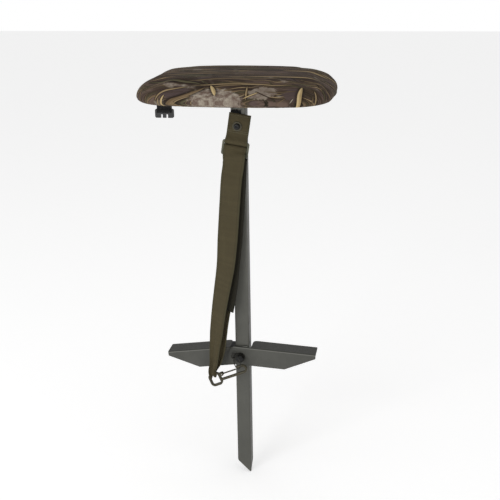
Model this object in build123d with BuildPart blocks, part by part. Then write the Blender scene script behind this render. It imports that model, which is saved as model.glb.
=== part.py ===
from build123d import *
import math
import os

os.makedirs("parts", exist_ok=True)

# Frame: origin on the tube's axis, level with the stake's point. +Z up, +X right, -Y front. Millimetres.

# ---- stake tube -------------------------------------------------------------------------------
tube_side = 25.4
tube_wall = 1.6
tube_corner = 2.5
tip_rise_left = 1.0        # slope of the point's cut, towards the left
tip_rise_back = 0.74       # slope of the point's cut, towards the back
stub_clear = 0.1           # gap round the seat's stub inside the tube
stub_wall = 2.0
stub_length = 60.0
half_tube = tube_side / 2
tube_inside = tube_side - 2 * tube_wall
front_y = -half_tube       # the tube's front face

# ---- seat -------------------------------------------------------------------------------------
seat_base = 714.0          # underside of the seat
seat_width = 333.0
seat_depth = 240.0
seat_thick = 42.0
seat_bow = 9.0             # how far each side bulges
seat_corner = 72.0
seat_top_round = 18.0
seat_bottom_round = 9.0
board_inset = 24.0
board_thick = 12.0
cover_thick = 1.2
hem_width = 28.0
staple_length, staple_wide, staple_thick = 10.0, 1.2, 0.6
plate_x, plate_y, plate_thick = 112.0, 92.0, 3.0
bolt_x, bolt_y = 88.0, 68.0      # plate bolt spacing
m6 = 6.0
m6_clear = 0.3             # radial clearance of an M6 clearance hole
tnut_barrel = 4.3
tnut_flange, tnut_flange_thick = 9.5, 1.2
m6_head, m6_head_high = 5.5, 4.0
seat_top = seat_base + seat_thick
board_base = seat_base + cover_thick
board_top = board_base + board_thick
plate_base = board_base - plate_thick
tube_top = plate_base - 0.4

# ---- wings ------------------------------------------------------------------------------------
hub_x, hub_z = -2.0, 242.5
wing_length = 136.5
wing_height = 35.0
wing_depth = 35.0
wing_thick = 2.5
wing_fold_clear = 2.0      # gap between a folded wing's flange and the tube
flange_end_clear = 3.1     # gap between the flange's inner end and the tube
wing_above = half_tube - hub_x + wing_fold_clear + wing_thick      # pivot to the wing's top face
wing_taper = 55.0          # length of the sloping lower edge at the outer end
wing_tip_height = 8.0
wing_end_radius = wing_above + 3.8     # rounded inner end, centred on the pivot
flange_start = half_tube - hub_x + flange_end_clear
flange_corner = 8.0
wing_bend = 3.5
right_droop, left_droop = 3.0, 8.0
pad_thick, pad_radius = 0.9, 10.0
pad_gap = 0.05
bolt_radius = 4.0
bolt_fit = 0.05            # running clearance of a wing's hole on the bolt
bolt_clear = 0.15          # radial clearance of the fixed holes
head_flats, head_high = 13.0, 5.3
nut_high = 8.0
washer_radius, washer_thick = 8.2, 1.6
bush_radius, bush_length = 7.0, 3.0
lug_thick = 1.5
sleeve_radius = 6.5

# Layers in front of the tube, from its face outwards.
pad1_back = front_y
left_back = pad1_back - pad_thick - pad_gap
pad2_back = left_back - wing_thick - pad_gap
right_back = pad2_back - pad_thick - pad_gap
washer_back = right_back - wing_thick - pad_gap
bush_back = washer_back - washer_thick
lug_back = bush_back - bush_length
head_back = lug_back - lug_thick
bolt_tail = half_tube + washer_thick + nut_high + 3.0

# ---- wing stop --------------------------------------------------------------------------------
stop_gap = 0.3
stop_front, stop_deep = front_y + 0.7, 22.0
stop_low = hub_z + 8.0
stop_high = stop_low + 9.5
stop_screw_radius, stop_head_radius = 2.0, 3.8

# ---- carrying strap ---------------------------------------------------------------------------
web_width, web_thick = 38.0, 1.6
strap_tilt = 9.0           # the strap leaves the post leaning this many degrees
slider_x, slider_z = -4.6, seat_base - 85.0
head_rise, head_drop = 60.0, 18.0    # strap's flat top length above and below the slider's middle
tab_width, tab_rise = 18.0, 69.0
tab_drop = 30.0            # the backing tab's lower end, above the slider's middle
screw_x, screw_z = -1.0, seat_base - 47.0
screw_radius, screw_head, screw_head_high = 3.0, 5.4, 3.2
grommet_radius, grommet_thick = 8.5, 1.2
slider_long, slider_high, slider_thick = 47.0, 27.0, 2.8
slot_long, slot_high, slot_pitch = 40.0, 6.5, 12.4
tab_back = front_y
head_strap_back = tab_back - web_thick
grommet_back = head_strap_back - web_thick
screw_head_back = grommet_back - grommet_thick
slider_back = head_strap_back - web_thick - 0.4

# Stations of the hanging runs: the webbing's middle across the tube and in front of its face, its height
# above the strap's foot, and how far it has turned about the vertical. The heights are for a strap that
# hangs drawn_hang from the slider to its foot, and they stretch with it.
drawn_hang = 409.5
front_run_path = [(-5.6, 10.3, 402.5, 2), (-6.6, 11.3, 386.5, 4), (-10.4, 12.8, 360.5, 6),
                  (-14, 14.8, 318.5, 9), (-19, 18.3, 250.5, 12), (-23, 21.3, 202.5, 18),
                  (-30, 24.3, 158.5, 25), (-36, 26.3, 120.5, 28), (-41.5, 28.3, 76.5, 30),
                  (-45.5, 29.3, 42.5, 30), (-48, 28.3, 16.5, 22), (-49.5, 27.3, 0, 10)]
back_run_path = [(-8.2, 4.7, 386.5, 4), (-10, 5.1, 360.5, 5), (-13, 5.9, 318.5, 8),
                 (-18.4, 7.8, 246.5, 12), (-21.2, 9.8, 202.5, 18), (-24.6, 12.3, 154.5, 25),
                 (-29.2, 15.3, 118.5, 28), (-33.6, 18.3, 80.5, 30), (-35, 20.3, 42.5, 30),
                 (-41, 20.3, 16.5, 22), (-48, 19.3, 0, 10)]
tail_path = [(-6, 7.4, 386.5, 4), (-7.2, 7.9, 360.5, 5), (-9.9, 8.9, 318.5, 8), (-15.1, 11.1, 246.5, 12),
             (-18.2, 13.3, 202.5, 18), (-21.8, 16.5, 154.5, 25), (-26.8, 19.7, 118.5, 28)]
web_bunch = [(250.5, 38.0), (158.5, 32.0), (76.5, 28.0), (42.5, 20.0), (16.5, 14.0)]   # height, bunched width

# ---- snap hook and ring -----------------------------------------------------------------------
hook_x, hook_y, hook_z = hub_x - 44.0, lug_back - 11.7, hub_z - 40.0
strap_foot = hook_z + 17.0
hook_tilt = 23.0
eye_long, eye_high, eye_bar = 24.0, 26.0, 4.6
eye_corner, eye_inner_corner = 8.0, 2.0
bight_width = 12.0
hook_thick = 5.2
shank_offset = -4.0
nose_offset = 9.0
arch_centre = 56.0
nose_end = 46.0
gate_line = 6.0            # the gate's line, from the hook's middle line
gate_pin_along = 15.0
gate_end = 43.6
gate_radius = 1.3
gate_knuckle = 2.4
gate_pin_radius = 1.0
ear_gap = 1.45
ear_slot_start, ear_slot_long = 12.2, 17.6
ear_slot_low, ear_slot_high = -1.2, 11.6
ring_radius, ring_wire = 13.0, 0.9
ring_hole_x, ring_hole_z = -10.8, 3.3      # the lug's hole, from the pivot
ring_hole_radius = 4.0
lug_end_radius = 6.2
ring_centre = (hub_x - 4.3, lug_back - 8.9, hub_z - 4.4)
ring_turn = 51.2           # turn of the ring's plane about the vertical

# ---- tail under the seat ----------------------------------------------------------------------
belt_x, belt_y = 52.0 - seat_width / 2, 60.0 - seat_depth / 2
belt_width, belt_thick = 25.0, 1.6
belt_reach, belt_drop = 26.0, 13.0
bar_radius = 1.25
buckle_width, buckle_high, buckle_thick = 27.0, 15.0, 4.0


def ring_of(radius, hole, back, length, x=hub_x, z=hub_z):
    """A flat ring on the pivot line, from back towards the front."""
    with BuildPart() as ring:
        with BuildSketch(Plane(origin=(x, back, z), x_dir=(1, 0, 0), z_dir=(0, -1, 0))):
            Circle(radius)
            Circle(hole, mode=Mode.SUBTRACT)
        extrude(amount=length)
    return ring


def seat_outline(inset):
    """The seat's plan: four bowed sides and rounded corners."""
    half_x, half_y = seat_width / 2 - inset, seat_depth / 2 - inset
    left, low = -half_x + seat_bow, -half_y + seat_bow
    with BuildSketch() as outline:
        with BuildLine():
            ThreePointArc((left, low), (0, -half_y), (-left, low))
            ThreePointArc((-left, low), (half_x, 0), (-left, -low))
            ThreePointArc((-left, -low), (0, half_y), (left, -low))
            ThreePointArc((left, -low), (-half_x, 0), (left, low))
        make_face()
        fillet(outline.vertices(), radius=seat_corner - inset)
    return outline.sketch


def seat_slab(inset, base, height):
    """A slab of the seat's plan."""
    with BuildPart() as slab:
        with BuildSketch(Plane.XY.offset(base)):
            add(seat_outline(inset))
        extrude(amount=height)
    return slab


# ---- seat: cushion, board, hem, staples -------------------------------------------------------
with BuildPart() as cushion:
    with BuildSketch(Plane.XY.offset(seat_base)):
        add(seat_outline(0))
    extrude(amount=seat_thick)
    fillet(cushion.faces().sort_by(Axis.Z)[-1].edges(), radius=seat_top_round)
    fillet(cushion.faces().sort_by(Axis.Z)[0].edges(), radius=seat_bottom_round)
    with BuildSketch(Plane.XY.offset(seat_base)):
        add(seat_outline(board_inset))
    extrude(amount=board_top - seat_base, mode=Mode.SUBTRACT)
cushion.part.label = "seat_cushion"
export_step(cushion.part, "parts/seat_cushion.step")

with BuildPart() as board:
    add(seat_slab(board_inset, board_base, board_thick).part)
    with Locations(Plane.XY.offset(board_top)):
        with GridLocations(bolt_x, bolt_y, 2, 2):
            CounterBoreHole(tnut_barrel, tnut_flange, tnut_flange_thick)
board.part.label = "seat_board"
export_step(board.part, "parts/seat_board.step")

with BuildPart() as hem:
    add(seat_slab(board_inset, seat_base, cover_thick).part)
    add(seat_slab(board_inset + hem_width, seat_base, cover_thick).part, mode=Mode.SUBTRACT)
hem.part.label = "cover_hem"
export_step(hem.part, "parts/cover_hem.step")

staple_inset = board_inset + hem_width / 2
with BuildPart() as staples:
    with BuildSketch(Plane.XY.offset(seat_base)):
        with GridLocations(38, seat_depth - 2 * staple_inset - 4, 5, 2):
            Rectangle(staple_length, staple_wide)
        with GridLocations(seat_width - 2 * staple_inset - 4, 26, 2, 3):
            Rectangle(staple_wide, staple_length)
    extrude(amount=-staple_thick)
staples.part.label = "hem_staples"
export_step(staples.part, "parts/hem_staples.step")

# ---- seat plate, stub and bolts ---------------------------------------------------------------
with BuildPart() as plate:
    with BuildSketch(Plane.XY.offset(plate_base)):
        RectangleRounded(plate_x, plate_y, 8)
        with GridLocations(bolt_x, bolt_y, 2, 2):
            Circle(m6 / 2 + m6_clear, mode=Mode.SUBTRACT)
    extrude(amount=plate_thick)
plate.part.label = "seat_plate"
export_step(plate.part, "parts/seat_plate.step")

stub_side = tube_inside - 2 * stub_clear
with BuildPart() as stub:
    with BuildSketch(Plane.XY.offset(plate_base - stub_length)):
        RectangleRounded(stub_side, stub_side, 1.4)
        Rectangle(stub_side - 2 * stub_wall, stub_side - 2 * stub_wall, mode=Mode.SUBTRACT)
    extrude(amount=stub_length)
    with BuildSketch(Plane(origin=(screw_x, 0, screw_z), x_dir=(1, 0, 0), z_dir=(0, -1, 0))):
        Circle(screw_radius + bolt_clear)
    extrude(amount=half_tube, mode=Mode.SUBTRACT)
stub.part.label = "seat_stub"
export_step(stub.part, "parts/seat_stub.step")

with BuildPart() as tnuts:
    with Locations(Plane.XY.offset(board_top - tnut_flange_thick)):
        with GridLocations(bolt_x, bolt_y, 2, 2):
            Cylinder(tnut_flange, tnut_flange_thick, align=(Align.CENTER, Align.CENTER, Align.MIN))
            Cylinder(tnut_barrel, 8, align=(Align.CENTER, Align.CENTER, Align.MAX))
            Cylinder(m6 / 2, 30, mode=Mode.SUBTRACT)
tnuts.part.label = "board_nuts"
export_step(tnuts.part, "parts/board_nuts.step")

with BuildPart() as plate_bolts:
    with BuildSketch(Plane.XY.offset(plate_base - m6_head_high)):
        with GridLocations(bolt_x, bolt_y, 2, 2):
            RegularPolygon(m6_head, 6)
    extrude(amount=m6_head_high)
    chamfer(plate_bolts.faces().sort_by(Axis.Z)[:4].edges(), length=0.6)
    with BuildSketch(Plane.XY.offset(plate_base)):
        with GridLocations(bolt_x, bolt_y, 2, 2):
            Circle(m6 / 2)
    extrude(amount=plate_thick + board_thick - 1)
plate_bolts.part.label = "plate_bolts"
export_step(plate_bolts.part, "parts/plate_bolts.step")

# ---- stake tube -------------------------------------------------------------------------------
tip_lift = tube_corner * (tip_rise_left + tip_rise_back - math.hypot(tip_rise_left, tip_rise_back))
with BuildPart() as tube:
    with BuildSketch():
        RectangleRounded(tube_side, tube_side, tube_corner)
        RectangleRounded(tube_inside, tube_inside, tube_corner - tube_wall, mode=Mode.SUBTRACT)
    extrude(amount=tube_top)
    split(bisect_by=Plane(origin=(half_tube, -half_tube, -tip_lift), z_dir=(tip_rise_left, -tip_rise_back, 1)),
          keep=Keep.TOP)
    with BuildSketch(Plane(origin=(hub_x, 0, hub_z), x_dir=(1, 0, 0), z_dir=(0, -1, 0))):
        Circle(bolt_radius + bolt_clear)
    extrude(amount=tube_side, both=True, mode=Mode.SUBTRACT)
    with BuildSketch(Plane(origin=(screw_x, 0, screw_z), x_dir=(1, 0, 0), z_dir=(0, -1, 0))):
        Circle(screw_radius + bolt_clear)
    extrude(amount=tube_side, mode=Mode.SUBTRACT)
    with BuildSketch(Plane(origin=(0, stop_front + stop_deep / 2, (stop_low + stop_high) / 2),
                           x_dir=(0, 1, 0), z_dir=(-1, 0, 0))):
        Circle(stop_screw_radius)
    extrude(amount=tube_side, mode=Mode.SUBTRACT)
tube.part.label = "stake_tube"
export_step(tube.part, "parts/stake_tube.step")


# ---- wings ------------------------------------------------------------------------------------
def wing(side, back, droop):
    """An angle-iron wing: upright plate with a rounded inner end, top flange, sloped outer end."""
    bottom = wing_above - wing_height
    top_s = -math.sqrt(wing_end_radius ** 2 - wing_above ** 2)
    low_s = -math.sqrt(wing_end_radius ** 2 - bottom ** 2)
    with BuildPart() as bar:
        with BuildSketch(Plane(origin=(0, back, 0), x_dir=(1, 0, 0), z_dir=(0, -1, 0))):
            with BuildLine():
                Polyline((top_s, wing_above), (wing_length, wing_above),
                         (wing_length, wing_above - wing_tip_height),
                         (wing_length - wing_taper, bottom), (low_s, bottom))
                ThreePointArc((low_s, bottom), (-wing_end_radius, 0), (top_s, wing_above))
            make_face()
            Circle(bolt_radius + bolt_fit, mode=Mode.SUBTRACT)
        extrude(amount=wing_thick)
        with BuildSketch(Plane.XY.offset(wing_above)):
            with Locations(((flange_start + wing_length) / 2, back - wing_thick + wing_depth / 2)):
                Rectangle(wing_length - flange_start, wing_depth)
        extrude(amount=-wing_thick)
        inner_back = bar.edges().filter_by(Axis.Z).group_by(Axis.Y)[-1]
        fillet(inner_back.sort_by(Axis.X)[0], radius=flange_corner)
        fillet(inner_back.sort_by(Axis.X)[-1], radius=2)
        crease = bar.edges().filter_by(Axis.X).group_by(Axis.Z)[-1].group_by(Axis.Y)[0]
        fillet(crease.sort_by(SortBy.LENGTH)[-1], radius=wing_bend - 1)
    turned = bar.part if side > 0 else mirror(bar.part, about=Plane.YZ)
    turned = turned.rotate(Axis.Y, droop * side)
    return turned.moved(Location((hub_x, 0, hub_z)))


right_wing = wing(1, right_back, right_droop)
right_wing.label = "right_wing"
export_step(right_wing, "parts/right_wing.step")

left_wing = wing(-1, left_back, left_droop)
left_wing.label = "left_wing"
export_step(left_wing, "parts/left_wing.step")

# ---- pivot hardware ---------------------------------------------------------------------------
fixed_hole = bolt_radius + bolt_clear
stack = {
    "pivot_pad_inner": ring_of(pad_radius, fixed_hole, pad1_back, pad_thick),
    "pivot_pad_outer": ring_of(pad_radius, fixed_hole, pad2_back, pad_thick),
    "pivot_washer": ring_of(washer_radius, fixed_hole, washer_back, washer_thick),
    "pivot_bush": ring_of(bush_radius, fixed_hole, bush_back, bush_length),
    "back_washer": ring_of(washer_radius, fixed_hole, half_tube + washer_thick, washer_thick),
    "pivot_sleeve": ring_of(sleeve_radius, fixed_hole, tube_inside / 2, tube_inside),
}
for label, ring in stack.items():
    ring.part.label = label
    export_step(ring.part, f"parts/{label}.step")

hex_radius = head_flats / 2 / math.cos(math.radians(30))
with BuildPart() as hub_bolt:
    with BuildSketch(Plane(origin=(hub_x, head_back, hub_z), x_dir=(1, 0, 0), z_dir=(0, -1, 0))):
        RegularPolygon(hex_radius, 6)
    extrude(amount=head_high)
    with BuildSketch(Plane(origin=(hub_x, 0, hub_z), x_dir=(1, 0, 0), z_dir=(0, 0, 1))):
        with BuildLine():
            Polyline((0, head_back), (0, head_back - head_high), (hex_radius - 1.3, head_back - head_high),
                     (hex_radius + 0.05, head_back - head_high + 0.9), (hex_radius + 0.05, head_back), (0, head_back))
        make_face()
    revolve(axis=Axis((hub_x, 0, hub_z), (0, 1, 0)), mode=Mode.INTERSECT)
    with BuildSketch(Plane(origin=(hub_x, head_back, hub_z), x_dir=(1, 0, 0), z_dir=(0, 1, 0))):
        Circle(bolt_radius)
    extrude(amount=bolt_tail - head_back)
hub_bolt.part.label = "hub_bolt"
export_step(hub_bolt.part, "parts/hub_bolt.step")

with BuildPart() as hub_nut:
    with BuildSketch(Plane(origin=(hub_x, half_tube + washer_thick, hub_z), x_dir=(1, 0, 0), z_dir=(0, 1, 0))):
        RegularPolygon(hex_radius, 6)
        Circle(bolt_radius, mode=Mode.SUBTRACT)
    extrude(amount=nut_high)
    chamfer(hub_nut.faces().sort_by(Axis.Y)[-1].edges().filter_by(GeomType.LINE), length=0.8)
hub_nut.part.label = "hub_nut"
export_step(hub_nut.part, "parts/hub_nut.step")

# The lug carries the ring: a flat link clamped under the bolt's head.
with BuildPart() as lug:
    with BuildSketch(Plane(origin=(hub_x, lug_back, hub_z), x_dir=(1, 0, 0), z_dir=(0, -1, 0))):
        with BuildSketch(mode=Mode.PRIVATE) as circles:
            Circle(washer_radius - 0.2)
            with Locations((ring_hole_x, ring_hole_z)):
                Circle(lug_end_radius)
        add(make_hull(circles.edges()))
        Circle(fixed_hole, mode=Mode.SUBTRACT)
        with Locations((ring_hole_x, ring_hole_z)):
            Circle(ring_hole_radius, mode=Mode.SUBTRACT)
    extrude(amount=lug_thick)
lug.part.label = "ring_lug"
export_step(lug.part, "parts/ring_lug.step")

turn = math.radians(ring_turn)
with BuildPart() as hub_ring:
    with Locations(Plane(origin=ring_centre, x_dir=(0, 0, 1), z_dir=(math.sin(turn), math.cos(turn), 0))):
        Torus(ring_radius, ring_wire)
hub_ring.part.label = "hub_ring"
export_step(hub_ring.part, "parts/hub_ring.step")

# ---- wing stop --------------------------------------------------------------------------------
left_radians = math.radians(left_droop)
stop_reach = flange_start * math.cos(left_radians) + (wing_above - wing_thick) * math.sin(left_radians)
stop_face = hub_x - stop_reach + stop_gap
with BuildPart() as stop:
    with BuildSketch(Plane.XY.offset(stop_low)):
        with Locations(((stop_face - half_tube) / 2, stop_front + stop_deep / 2)):
            RectangleRounded(-half_tube - stop_face, stop_deep, 1.5)
    extrude(amount=stop_high - stop_low)
    with BuildSketch(Plane(origin=(stop_face, stop_front + stop_deep / 2, (stop_low + stop_high) / 2),
                           x_dir=(0, 1, 0), z_dir=(1, 0, 0))):
        Circle(stop_screw_radius)
    extrude(amount=-half_tube - stop_face, mode=Mode.SUBTRACT)
    with BuildSketch(Plane(origin=(stop_face, stop_front + stop_deep / 2, (stop_low + stop_high) / 2),
                           x_dir=(0, 1, 0), z_dir=(1, 0, 0))):
        Circle(stop_head_radius)
    extrude(amount=2.4, mode=Mode.SUBTRACT)
stop.part.label = "wing_stop"
export_step(stop.part, "parts/wing_stop.step")

with BuildPart() as stop_screw:
    with BuildSketch(Plane(origin=(stop_face + 0.4, stop_front + stop_deep / 2, (stop_low + stop_high) / 2),
                           x_dir=(0, 1, 0), z_dir=(1, 0, 0))):
        Circle(stop_head_radius - 0.1)
    extrude(amount=2)
    fillet(stop_screw.faces().sort_by(Axis.X)[0].edges(), radius=0.8)
    with BuildSketch(Plane(origin=(stop_face + 2.4, stop_front + stop_deep / 2, (stop_low + stop_high) / 2),
                           x_dir=(0, 1, 0), z_dir=(1, 0, 0))):
        Circle(stop_screw_radius)
    extrude(amount=-half_tube - stop_face - 2.4 + tube_wall)
stop_screw.part.label = "stop_screw"
export_step(stop_screw.part, "parts/stop_screw.step")

# ---- strap: flat top end, backing tab, screw, grommet, slider ---------------------------------
tilt = math.radians(strap_tilt)


def strap_plane(back):
    """The strap's own plane on the tube's front: x across it, y up along it, normal to the front."""
    return Plane(origin=(slider_x, back, slider_z), x_dir=(math.cos(tilt), 0, -math.sin(tilt)), z_dir=(0, -1, 0))


screw_across = (screw_x - slider_x) * math.cos(tilt) - (screw_z - slider_z) * math.sin(tilt)
screw_along = (screw_x - slider_x) * math.sin(tilt) + (screw_z - slider_z) * math.cos(tilt)

with BuildPart() as tab:
    with BuildSketch(strap_plane(tab_back)):
        with Locations((screw_across, (tab_rise + tab_drop) / 2)):
            Rectangle(tab_width, tab_rise - tab_drop)
        with Locations((screw_across, screw_along)):
            Circle(screw_radius + bolt_clear, mode=Mode.SUBTRACT)
    extrude(amount=web_thick)
tab.part.label = "backing_tab"
export_step(tab.part, "parts/backing_tab.step")

with BuildPart() as strap_head:
    with BuildSketch(strap_plane(head_strap_back)):
        with Locations((0, (head_rise - head_drop) / 2)):
            Rectangle(web_width, head_rise + head_drop)
        with Locations((screw_across, screw_along)):
            Circle(screw_radius + bolt_clear, mode=Mode.SUBTRACT)
    extrude(amount=web_thick)
strap_head.part.label = "strap_top"
export_step(strap_head.part, "parts/strap_top.step")

grommet = ring_of(grommet_radius, screw_radius + bolt_clear, grommet_back, grommet_thick, screw_x, screw_z)
with BuildPart() as grommet_part:
    add(grommet.part)
    fillet(grommet_part.faces().sort_by(Axis.Y)[0].edges().sort_by(SortBy.LENGTH)[-1], radius=0.8)
grommet_part.part.label = "strap_washer"
export_step(grommet_part.part, "parts/strap_washer.step")

screw_reach = tube_inside / 2 - stub_clear - stub_wall - 4
with BuildPart() as strap_screw:
    with BuildSketch(Plane(origin=(screw_x, screw_head_back, screw_z), x_dir=(1, 0, 0), z_dir=(0, -1, 0))):
        Circle(screw_head)
    extrude(amount=screw_head_high)
    fillet(strap_screw.faces().sort_by(Axis.Y)[0].edges(), radius=2.2)
    with BuildSketch(Plane(origin=(screw_x, screw_head_back - screw_head_high, screw_z),
                           x_dir=(1, 0, 0), z_dir=(0, -1, 0))):
        RegularPolygon(2.2, 6)
    extrude(amount=-1.8, mode=Mode.SUBTRACT)
    with BuildSketch(Plane(origin=(screw_x, screw_head_back, screw_z), x_dir=(1, 0, 0), z_dir=(0, 1, 0))):
        Circle(screw_radius)
    extrude(amount=-screw_head_back - screw_reach)
strap_screw.part.label = "strap_screw"
export_step(strap_screw.part, "parts/strap_screw.step")

nut_front = -(stub_side / 2 - stub_wall)
with BuildPart() as weld_nut:
    with BuildSketch(Plane(origin=(screw_x, nut_front, screw_z), x_dir=(1, 0, 0), z_dir=(0, 1, 0))):
        RegularPolygon(5.6, 6)
        Circle(screw_radius, mode=Mode.SUBTRACT)
    extrude(amount=5)
weld_nut.part.label = "weld_nut"
export_step(weld_nut.part, "parts/weld_nut.step")

with BuildPart() as slider:
    with BuildSketch(strap_plane(slider_back)):
        RectangleRounded(slider_long, slider_high, 4)
        with GridLocations(1, slot_pitch, 1, 2):
            RectangleRounded(slot_long, slot_high, 1.5, mode=Mode.SUBTRACT)
    extrude(amount=slider_thick)
    fillet(slider.faces().sort_by(Axis.Y)[0].edges(), radius=0.9)
    fillet(slider.faces().sort_by(Axis.Y)[-1].edges(), radius=0.7)
slider.part.label = "strap_slider"
export_step(slider.part, "parts/strap_slider.step")


# ---- strap: hanging runs ----------------------------------------------------------------------
def run_width(height):
    """The webbing's width: full at the top, bunching in straight steps towards the hook's eye."""
    if height >= web_bunch[0][0]:
        return web_width
    for (high, high_width), (low, low_width) in zip(web_bunch, web_bunch[1:]):
        if height >= low:
            share = (high - height) / (high - low)
            return high_width + (low_width - high_width) * share
    return web_bunch[-1][1]


def run_of(path):
    """One hanging run: level sections of the webbing, joined by straight lofts."""
    stretch = (slider_z - strap_foot) / drawn_hang
    with BuildPart() as run:
        for x, forward, height, turn_deg in path:
            across = (math.cos(math.radians(turn_deg)), -math.sin(math.radians(turn_deg)), 0)
            station = (x, front_y - forward, strap_foot + height * stretch)
            with BuildSketch(Plane(origin=station, x_dir=across, z_dir=(0, 0, 1))):
                Rectangle(run_width(height), web_thick)
        loft(ruled=True)
    return run


for label, path in (("strap_front_run", front_run_path), ("strap_back_run", back_run_path), ("strap_tail", tail_path)):
    run = run_of(path)
    run.part.label = label
    export_step(run.part, f"parts/{label}.step")

# ---- snap hook --------------------------------------------------------------------------------
lean = math.radians(hook_tilt)


def hook_plane(forward=0.0):
    """The hook's middle plane: x along the hook towards its nose, y across it, normal to the front."""
    return Plane(origin=(hook_x, hook_y - forward, hook_z), x_dir=(math.cos(lean), 0, math.sin(lean)),
                 z_dir=(0, -1, 0))


half_thick = hook_thick / 2
arch_radius = (nose_offset - shank_offset) / 2
arch_mid = (nose_offset + shank_offset) / 2
shank_start = eye_long / 2 - 1.5
with BuildPart() as hook:
    with BuildSketch(hook_plane()):
        RectangleRounded(eye_long, eye_high, eye_corner)
        RectangleRounded(eye_long - 2 * eye_bar, eye_high - 2 * eye_bar, eye_inner_corner, mode=Mode.SUBTRACT)
    extrude(amount=half_thick, both=True)
    fillet(hook.edges().filter_by(Axis.Y, reverse=True), radius=1.5)
    with BuildSketch(hook_plane()):
        with Locations((gate_pin_along - 1.0, gate_line + 0.2)):
            RectangleRounded(9.0, 6.6, 2.5)
    extrude(amount=half_thick, both=True)
    with BuildLine(hook_plane()):
        Polyline((shank_start, shank_offset), (arch_centre, shank_offset))
        ThreePointArc((arch_centre, shank_offset), (arch_centre + arch_radius, arch_mid), (arch_centre, nose_offset))
        Line((arch_centre, nose_offset), (nose_end, nose_offset))
    hook_start = hook_plane().from_local_coords(Vector(shank_start, shank_offset, 0))
    with BuildSketch(Plane(origin=hook_start, z_dir=(math.cos(lean), 0, math.sin(lean)))):
        Circle(half_thick)
    sweep()
    with BuildSketch(hook_plane()):
        with Locations((ear_slot_start + ear_slot_long / 2, ear_slot_low + ear_slot_high / 2)):
            Rectangle(ear_slot_long, ear_slot_high)
    extrude(amount=ear_gap, both=True, mode=Mode.SUBTRACT)
    with BuildSketch(hook_plane()):
        with Locations((gate_pin_along, gate_line)):
            Circle(gate_pin_radius)
    extrude(amount=half_thick, both=True, mode=Mode.SUBTRACT)
hook.part.label = "snap_hook"
export_step(hook.part, "parts/snap_hook.step")

with BuildPart() as gate:
    with BuildSketch(hook_plane()):
        with Locations((gate_pin_along, gate_line)):
            Circle(gate_knuckle)
    extrude(amount=ear_gap - 0.15, both=True)
    gate_start = hook_plane().from_local_coords(Vector(gate_pin_along, gate_line, 0))
    with BuildSketch(Plane(origin=gate_start, z_dir=(math.cos(lean), 0, math.sin(lean)))):
        Circle(gate_radius)
    extrude(amount=gate_end - gate_pin_along)
    with BuildSketch(hook_plane()):
        with Locations((gate_pin_along, gate_line)):
            Circle(gate_pin_radius + bolt_fit)
    extrude(amount=half_thick, both=True, mode=Mode.SUBTRACT)
gate.part.label = "hook_gate"
export_step(gate.part, "parts/hook_gate.step")

with BuildPart() as gate_pin:
    with BuildSketch(hook_plane()):
        with Locations((gate_pin_along, gate_line)):
            Circle(gate_pin_radius)
    extrude(amount=half_thick, both=True)
gate_pin.part.label = "gate_pin"
export_step(gate_pin.part, "parts/gate_pin.step")

# The webbing's bight round the eye's upper bar.
bar_middle = (eye_high - eye_bar) / 2
bar_across, bar_deep = eye_bar + 0.6, hook_thick + 0.8
with BuildPart() as bight:
    bight_start = hook_plane().from_local_coords(Vector(-bight_width / 2, bar_middle, 0))
    with BuildSketch(Plane(origin=bight_start, x_dir=(0, -1, 0), z_dir=(math.cos(lean), 0, math.sin(lean)))):
        RectangleRounded(bar_deep + 2 * web_thick, bar_across + 2 * web_thick, 2.2)
        Rectangle(bar_deep, bar_across, mode=Mode.SUBTRACT)
    extrude(amount=bight_width)
bight.part.label = "strap_bight"
export_step(bight.part, "parts/strap_bight.step")

# ---- tail under the seat ----------------------------------------------------------------------
bar_z = seat_base - belt_thick - belt_drop
with BuildPart() as belt:
    with BuildSketch(Plane(origin=(belt_x - belt_width / 2, 0, 0), x_dir=(0, 1, 0), z_dir=(1, 0, 0))):
        with BuildLine():
            Polyline((belt_y, bar_z), (belt_y, seat_base), (belt_y + belt_reach, seat_base),
                     (belt_y + belt_reach, seat_base - belt_thick), (belt_y + belt_thick, seat_base - belt_thick),
                     (belt_y + belt_thick, bar_z), (belt_y, bar_z))
        make_face()
        with Locations((belt_y + belt_thick / 2, bar_z)):
            Circle(bar_radius + bolt_fit + belt_thick)
            Circle(bar_radius + bolt_fit, mode=Mode.SUBTRACT)
    extrude(amount=belt_width)
belt.part.label = "belt_end"
export_step(belt.part, "parts/belt_end.step")

with BuildPart() as belt_screw:
    with BuildSketch(Plane.XY.offset(seat_base - belt_thick)):
        with Locations((belt_x, belt_y + belt_reach - 9)):
            Circle(4.5)
    extrude(amount=-2.2)
    fillet(belt_screw.faces().sort_by(Axis.Z)[0].edges(), radius=1.2)
belt_screw.part.label = "belt_screw"
export_step(belt_screw.part, "parts/belt_screw.step")

bar_y = belt_y + belt_thick / 2
loop_radius = bar_radius + bolt_fit + belt_thick + 0.4
with BuildPart() as buckle:
    with BuildSketch(Plane(origin=(belt_x, bar_y, bar_z), x_dir=(1, 0, 0), z_dir=(0, -1, 0))):
        with Locations((0, -buckle_high / 2 + loop_radius)):
            RectangleRounded(buckle_width + 5, buckle_high, 3)
        Rectangle(belt_width + 0.6, 2 * loop_radius, mode=Mode.SUBTRACT)
        with Locations((0, -buckle_high + loop_radius + 2)):
            with GridLocations(buckle_width / 3, 1, 2, 1):
                Rectangle(3.4, 8, mode=Mode.SUBTRACT)
    extrude(amount=buckle_thick / 2, both=True)
    fillet(buckle.edges().filter_by(Axis.Y, reverse=True).group_by(Axis.Z)[0], radius=0.8)
    with BuildSketch(Plane(origin=(belt_x, bar_y, bar_z), x_dir=(0, 1, 0), z_dir=(1, 0, 0))):
        Circle(bar_radius)
    extrude(amount=belt_width / 2 + 1.5, both=True)
buckle.part.label = "belt_buckle"
export_step(buckle.part, "parts/belt_buckle.step")
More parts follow.
